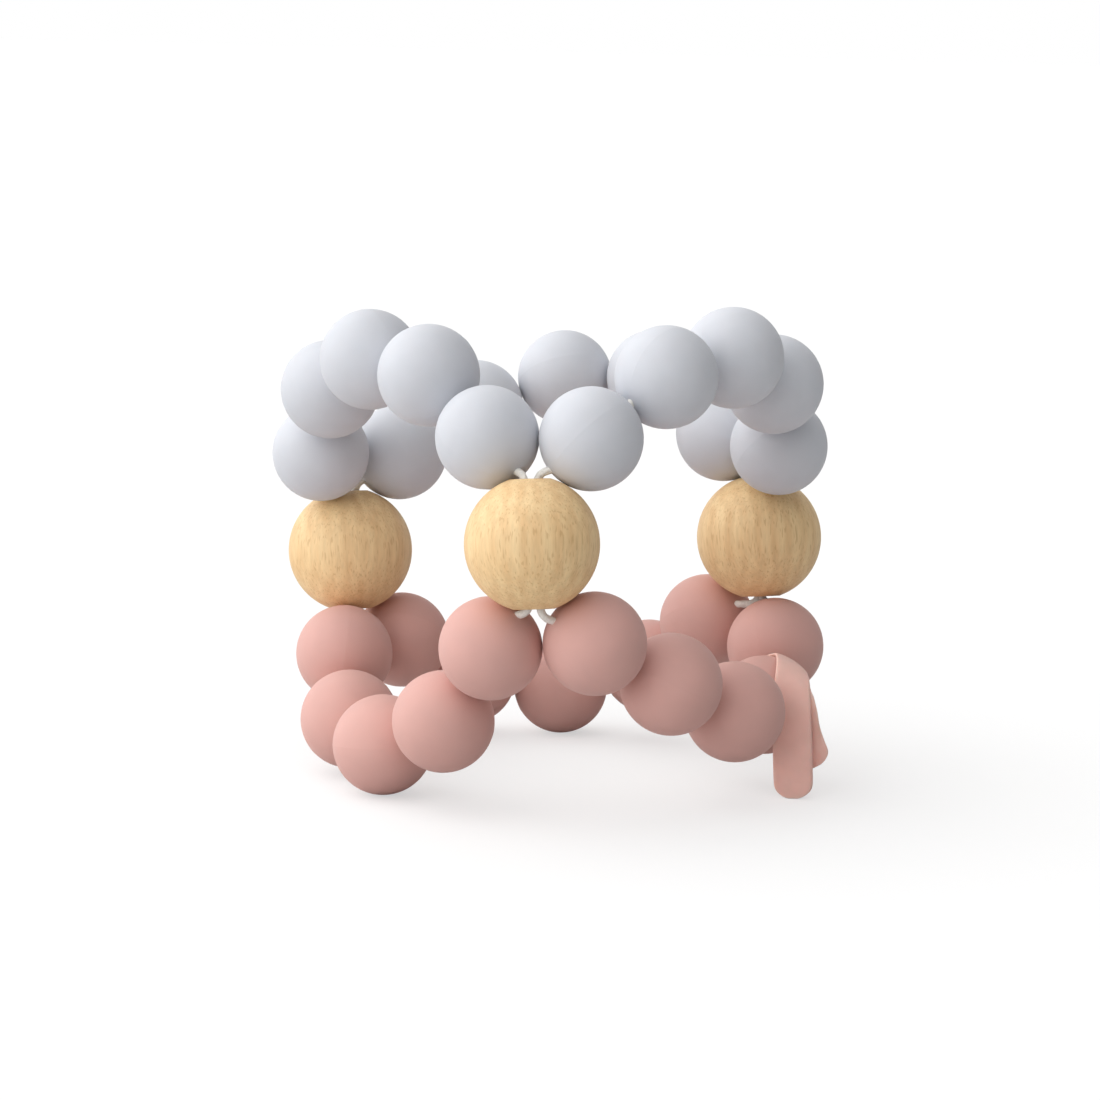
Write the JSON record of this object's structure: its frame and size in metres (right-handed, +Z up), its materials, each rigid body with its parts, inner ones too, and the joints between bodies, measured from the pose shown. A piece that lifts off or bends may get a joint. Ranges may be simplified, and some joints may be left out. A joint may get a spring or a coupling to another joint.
{
  "type": "bead teether",
  "caption": "Limp ring of soft silicone beads strung on a cord in arches above and below round wooden beads, with a soft hanging tag; a teether to hold, mouth and clip to a strap.",
  "frame": {"origin": "on the ground under the middle of the ring, as it stands on the lowest bead of its left and back lower arches and leans on the end of its tag", "axes": "+Z up, square to the ground, with the wooden beads' bores about 9 degrees off it; -Y towards the front wooden bead; +X to the right seen from the front"},
  "size_m": [0.0887, 0.0909, 0.076],
  "materials": {
    "grey_silicone": "moulded silicone, matt, pale cool grey",
    "rose_silicone": "moulded silicone, matt, dusty rose",
    "beech": "turned and sanded beech, unvarnished, grain along the bore",
    "cord": "braided nylon cord, off-white",
    "salmon_strap": "soft moulded strap, matt, salmon"
  },
  "bodies": {
    "cord_core": {"cord_in_left_wood_a": "cord", "cord_knot_in_left_wood": "cord", "cord_in_front_wood_a": "cord", "cord_in_front_wood_b": "cord", "cord_in_right_wood_a": "cord", "cord_in_right_wood_b": "cord"},
    "wood_bead_left": {"wood_bead_left": "beech"},
    "wood_bead_front": {"wood_bead_front": "beech"},
    "wood_bead_right": {"wood_bead_right": "beech"},
    "upper_left_arch": {"cord_upper_left": "cord"},
    "upper_left_bead_1": {"upper_left_bead_1": "grey_silicone"},
    "upper_left_bead_2": {"upper_left_bead_2": "grey_silicone"},
    "upper_left_bead_3": {"upper_left_bead_3": "grey_silicone"},
    "upper_left_bead_4": {"upper_left_bead_4": "grey_silicone"},
    "upper_left_bead_5": {"upper_left_bead_5": "grey_silicone"},
    "upper_right_arch": {"cord_upper_right": "cord"},
    "upper_right_bead_1": {"upper_right_bead_1": "grey_silicone"},
    "upper_right_bead_2": {"upper_right_bead_2": "grey_silicone"},
    "upper_right_bead_3": {"upper_right_bead_3": "grey_silicone"},
    "upper_right_bead_4": {"upper_right_bead_4": "grey_silicone"},
    "upper_right_bead_5": {"upper_right_bead_5": "grey_silicone"},
    "upper_back_arch": {"cord_upper_back": "cord"},
    "upper_back_bead_1": {"upper_back_bead_1": "grey_silicone"},
    "upper_back_bead_2": {"upper_back_bead_2": "grey_silicone"},
    "upper_back_bead_3": {"upper_back_bead_3": "grey_silicone"},
    "upper_back_bead_4": {"upper_back_bead_4": "grey_silicone"},
    "upper_back_bead_5": {"upper_back_bead_5": "grey_silicone"},
    "lower_left_arch": {"cord_lower_left": "cord"},
    "lower_left_bead_1": {"lower_left_bead_1": "rose_silicone"},
    "lower_left_bead_2": {"lower_left_bead_2": "rose_silicone"},
    "lower_left_bead_3": {"lower_left_bead_3": "rose_silicone"},
    "lower_left_bead_4": {"lower_left_bead_4": "rose_silicone"},
    "lower_left_bead_5": {"lower_left_bead_5": "rose_silicone"},
    "lower_right_arch": {"cord_lower_right": "cord"},
    "lower_right_bead_1": {"lower_right_bead_1": "rose_silicone"},
    "lower_right_bead_2": {"lower_right_bead_2": "rose_silicone"},
    "lower_right_bead_3": {"lower_right_bead_3": "rose_silicone"},
    "lower_right_bead_4": {"lower_right_bead_4": "rose_silicone"},
    "lower_right_bead_5": {"lower_right_bead_5": "rose_silicone"},
    "lower_back_arch": {"cord_lower_back": "cord"},
    "lower_back_bead_1": {"lower_back_bead_1": "rose_silicone"},
    "lower_back_bead_2": {"lower_back_bead_2": "rose_silicone"},
    "lower_back_bead_3": {"lower_back_bead_3": "rose_silicone"},
    "lower_back_bead_4": {"lower_back_bead_4": "rose_silicone"},
    "lower_back_bead_5": {"lower_back_bead_5": "rose_silicone"},
    "tag": {"tag": "salmon_strap"}
  },
  "joints": [
    {"name": "upper_left_swing", "type": "hinge", "parent": "cord_core", "child": "upper_left_arch", "pos_m": [-0.02187, -0.0066, 0.05289], "axis": [0.5536, -0.8172, 0.1605], "range_deg": [-25, 30]},
    {"name": "upper_right_swing", "type": "hinge", "parent": "cord_core", "child": "upper_right_arch", "pos_m": [0.02233, -0.00871, 0.05491], "axis": [0.5321, 0.8399, -0.1066], "range_deg": [-25, 30]},
    {"name": "upper_back_swing", "type": "hinge", "parent": "cord_core", "child": "upper_back_arch", "pos_m": [0.00113, 0.02588, 0.0501], "axis": [-0.9962, -0.007, -0.0868], "range_deg": [-25, 30]},
    {"name": "lower_left_swing", "type": "hinge", "parent": "cord_core", "child": "lower_left_arch", "pos_m": [-0.01885, -0.00989, 0.0215], "axis": [-0.5102, 0.8408, -0.1811], "range_deg": [-25, 30]},
    {"name": "lower_right_swing", "type": "hinge", "parent": "cord_core", "child": "lower_right_arch", "pos_m": [0.02328, -0.00852, 0.02361], "axis": [-0.4765, -0.8676, 0.1422], "range_deg": [-25, 30]},
    {"name": "lower_back_swing", "type": "hinge", "parent": "cord_core", "child": "lower_back_arch", "pos_m": [0.00074, 0.02604, 0.01919], "axis": [0.9957, 0.0289, 0.0885], "range_deg": [-25, 30]},
    {"name": "tag_swivel", "type": "hinge", "parent": "lower_right_arch", "child": "tag", "pos_m": [0.03592, 0.00835, 0.01625], "axis": [0.0956, 0.9109, 0.4013], "range_deg": [0, 105]},
    {"name": "left_wood_spin", "type": "hinge", "parent": "cord_core", "child": "wood_bead_left", "pos_m": [-0.03232, 0.02089, 0.03221], "axis": [-0.063, 0.1442, 0.9875], "continuous": true},
    {"name": "front_wood_spin", "type": "hinge", "parent": "cord_core", "child": "wood_bead_front", "pos_m": [0.00037, -0.03554, 0.04254], "axis": [-0.063, 0.1442, 0.9875], "continuous": true},
    {"name": "right_wood_spin", "type": "hinge", "parent": "cord_core", "child": "wood_bead_right", "pos_m": [0.03358, 0.0212, 0.03637], "axis": [-0.063, 0.1442, 0.9875], "continuous": true},
    {"name": "upper_left_bead_1_spin", "type": "hinge", "parent": "upper_left_arch", "child": "upper_left_bead_1", "pos_m": [-0.03672, 0.01531, 0.04859], "axis": [-0.2073, -0.6272, 0.7507], "continuous": true},
    {"name": "upper_left_bead_2_spin", "type": "hinge", "parent": "upper_left_arch", "child": "upper_left_bead_2", "pos_m": [-0.03421, 0.00494, 0.05996], "axis": [0.4185, -0.6834, 0.5981], "continuous": true},
    {"name": "upper_left_bead_3_spin", "type": "hinge", "parent": "upper_left_arch", "child": "upper_left_bead_3", "pos_m": [-0.02674, -0.00732, 0.06608], "axis": [0.5511, -0.8128, 0.1891], "continuous": true},
    {"name": "upper_left_bead_4_spin", "type": "hinge", "parent": "upper_left_arch", "child": "upper_left_bead_4", "pos_m": [-0.01667, -0.01919, 0.06514], "axis": [0.6606, -0.6672, -0.3441], "continuous": true},
    {"name": "upper_left_bead_5_spin", "type": "hinge", "parent": "upper_left_arch", "child": "upper_left_bead_5", "pos_m": [-0.00702, -0.02852, 0.0572], "axis": [0.6019, -0.5303, -0.5971], "continuous": true},
    {"name": "upper_right_bead_1_spin", "type": "hinge", "parent": "upper_right_arch", "child": "upper_right_bead_1", "pos_m": [0.00843, -0.03064, 0.05769], "axis": [0.7249, 0.331, 0.6042], "continuous": true},
    {"name": "upper_right_bead_2_spin", "type": "hinge", "parent": "upper_right_arch", "child": "upper_right_bead_2", "pos_m": [0.01902, -0.02311, 0.06632], "axis": [0.6629, 0.6336, 0.3989], "continuous": true},
    {"name": "upper_right_bead_3_spin", "type": "hinge", "parent": "upper_right_arch", "child": "upper_right_bead_3", "pos_m": [0.02877, -0.01109, 0.0683], "axis": [0.5039, 0.859, -0.0906], "continuous": true},
    {"name": "upper_right_bead_4_spin", "type": "hinge", "parent": "upper_right_arch", "child": "upper_right_bead_4", "pos_m": [0.03506, 0.0022, 0.06311], "axis": [0.2999, 0.727, -0.6177], "continuous": true},
    {"name": "upper_right_bead_5_spin", "type": "hinge", "parent": "upper_right_arch", "child": "upper_right_bead_5", "pos_m": [0.03622, 0.01322, 0.05212], "axis": [-0.2026, 0.7373, -0.6444], "continuous": true},
    {"name": "upper_back_bead_1_spin", "type": "hinge", "parent": "upper_back_arch", "child": "upper_back_bead_1", "pos_m": [0.02737, 0.02607, 0.05239], "axis": [-0.5662, 0.348, 0.7472], "continuous": true},
    {"name": "upper_back_bead_2_spin", "type": "hinge", "parent": "upper_back_arch", "child": "upper_back_bead_2", "pos_m": [0.01571, 0.03253, 0.06048], "axis": [-0.8624, 0.4579, 0.216], "continuous": true},
    {"name": "upper_back_bead_3_spin", "type": "hinge", "parent": "upper_back_arch", "child": "upper_back_bead_3", "pos_m": [0.0009, 0.03736, 0.05957], "axis": [-0.9543, 0.0768, -0.2888], "continuous": true},
    {"name": "upper_back_bead_4_spin", "type": "hinge", "parent": "upper_back_arch", "child": "upper_back_bead_4", "pos_m": [-0.01335, 0.03337, 0.05462], "axis": [-0.7879, -0.5327, -0.309], "continuous": true},
    {"name": "upper_back_bead_5_spin", "type": "hinge", "parent": "upper_back_arch", "child": "upper_back_bead_5", "pos_m": [-0.0251, 0.0257, 0.04781], "axis": [-0.7154, -0.3855, -0.5827], "continuous": true},
    {"name": "lower_left_bead_1_spin", "type": "hinge", "parent": "lower_left_arch", "child": "lower_left_bead_1", "pos_m": [-0.03206, 0.01188, 0.01681], "axis": [0.0172, -0.7351, -0.6778], "continuous": true},
    {"name": "lower_left_bead_2_spin", "type": "hinge", "parent": "lower_left_arch", "child": "lower_left_bead_2", "pos_m": [-0.02963, -0.00129, 0.00881], "axis": [0.2682, -0.9221, -0.2791], "continuous": true},
    {"name": "lower_left_bead_3_spin", "type": "hinge", "parent": "lower_left_arch", "child": "lower_left_bead_3", "pos_m": [-0.02294, -0.01535, 0.00775], "axis": [0.5947, -0.7977, 0.1003], "continuous": true},
    {"name": "lower_left_bead_4_spin", "type": "hinge", "parent": "lower_left_arch", "child": "lower_left_bead_4", "pos_m": [-0.01292, -0.02569, 0.01374], "axis": [0.5464, -0.4448, 0.7097], "continuous": true},
    {"name": "lower_left_bead_5_spin", "type": "hinge", "parent": "lower_left_arch", "child": "lower_left_bead_5", "pos_m": [-0.00564, -0.03166, 0.02618], "axis": [0.5022, -0.4039, 0.7646], "continuous": true},
    {"name": "lower_right_bead_1_spin", "type": "hinge", "parent": "lower_right_arch", "child": "lower_right_bead_1", "pos_m": [0.00983, -0.03299, 0.02763], "axis": [0.7647, 0.4029, -0.5029], "continuous": true},
    {"name": "lower_right_bead_2_spin", "type": "hinge", "parent": "lower_right_arch", "child": "lower_right_bead_2", "pos_m": [0.02106, -0.0249, 0.02043], "axis": [0.6968, 0.575, -0.4288], "continuous": true},
    {"name": "lower_right_bead_3_spin", "type": "hinge", "parent": "lower_right_arch", "child": "lower_right_bead_3", "pos_m": [0.03065, -0.01412, 0.01449], "axis": [0.4569, 0.8397, -0.2936], "continuous": true},
    {"name": "lower_right_bead_4_spin", "type": "hinge", "parent": "lower_right_arch", "child": "lower_right_bead_4", "pos_m": [0.03512, 0.00074, 0.0129], "axis": [0.1658, 0.9826, 0.0836], "continuous": true},
    {"name": "lower_right_bead_5_spin", "type": "hinge", "parent": "lower_right_arch", "child": "lower_right_bead_5", "pos_m": [0.03672, 0.01596, 0.0196], "axis": [-0.0715, 0.6309, 0.7725], "continuous": true},
    {"name": "lower_back_bead_1_spin", "type": "hinge", "parent": "lower_back_arch", "child": "lower_back_bead_1", "pos_m": [0.02561, 0.02676, 0.0214], "axis": [-0.6091, 0.5975, -0.5215], "continuous": true},
    {"name": "lower_back_bead_2_spin", "type": "hinge", "parent": "lower_back_arch", "child": "lower_back_bead_2", "pos_m": [0.01611, 0.03502, 0.01219], "axis": [-0.7329, 0.3958, -0.5533], "continuous": true},
    {"name": "lower_back_bead_3_spin", "type": "hinge", "parent": "lower_back_arch", "child": "lower_back_bead_3", "pos_m": [0.00141, 0.03779, 0.00775], "axis": [-0.9986, -0.0115, -0.0524], "continuous": true},
    {"name": "lower_back_bead_4_spin", "type": "hinge", "parent": "lower_back_arch", "child": "lower_back_bead_4", "pos_m": [-0.01365, 0.03416, 0.00954], "axis": [-0.8124, -0.4861, 0.3219], "continuous": true},
    {"name": "lower_back_bead_5_spin", "type": "hinge", "parent": "lower_back_arch", "child": "lower_back_bead_5", "pos_m": [-0.02413, 0.02531, 0.01698], "axis": [-0.6066, -0.5597, 0.5646], "continuous": true}
  ]
}
